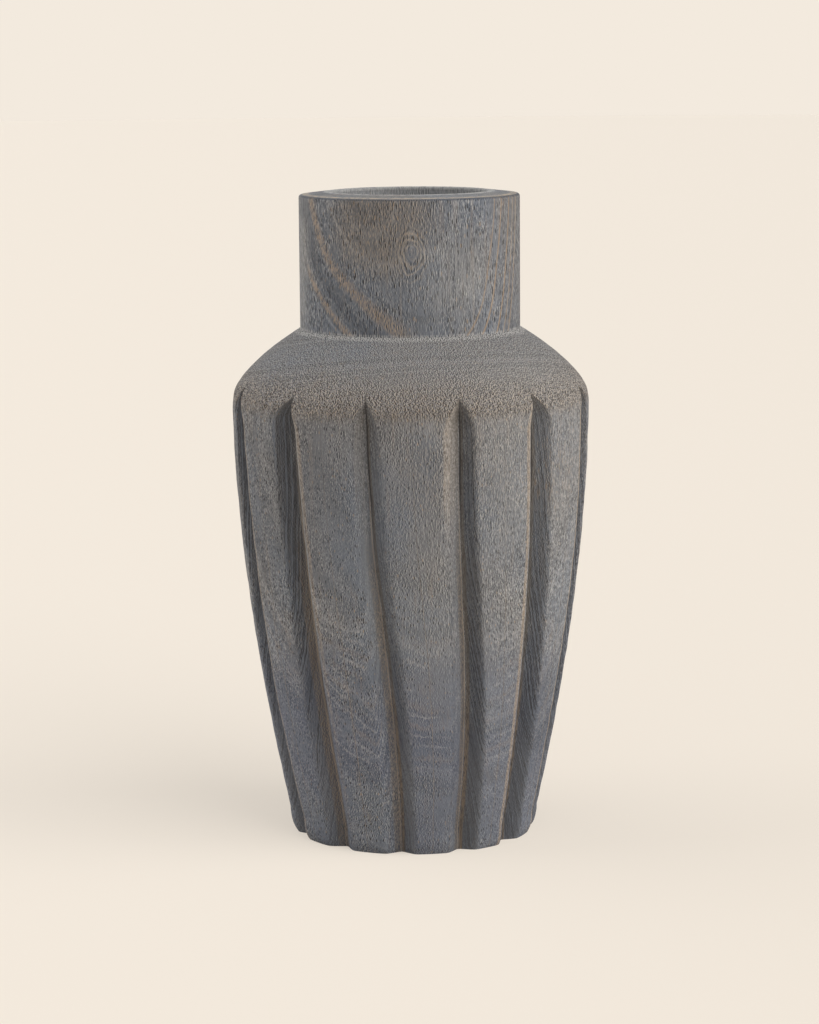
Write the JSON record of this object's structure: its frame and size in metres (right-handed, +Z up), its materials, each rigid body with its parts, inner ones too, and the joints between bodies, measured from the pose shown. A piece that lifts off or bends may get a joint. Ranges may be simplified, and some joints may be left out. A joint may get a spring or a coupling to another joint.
{
  "type": "vase",
  "caption": "Tall hollow wooden vase with a fluted body widest near the shoulder, a domed shoulder, a straight thick-walled neck and a grey-washed, wire-brushed finish.",
  "frame": {"origin": "middle of the foot on the table, at the centre of the lowest face", "axes": "+Z up along the vase's axis, -Y towards the pictured front, +X to the right in the picture"},
  "size_m": [0.1655, 0.1654, 0.3],
  "materials": {
    "body_wood": "open-pored wood, turned, carved, wire-brushed and washed blue-grey, matt, with bare tan wood along the flute valleys",
    "neck_wood": "the same wood, turned and wire-brushed, washed warm grey, matt, with tan lines of cathedral grain",
    "disc_wood": "the same wood, turned and left bare, matt"
  },
  "bodies": {
    "root": {"fluted_body": "body_wood", "neck_collar": "neck_wood", "foot_disc": "disc_wood"}
  },
  "joints": []
}
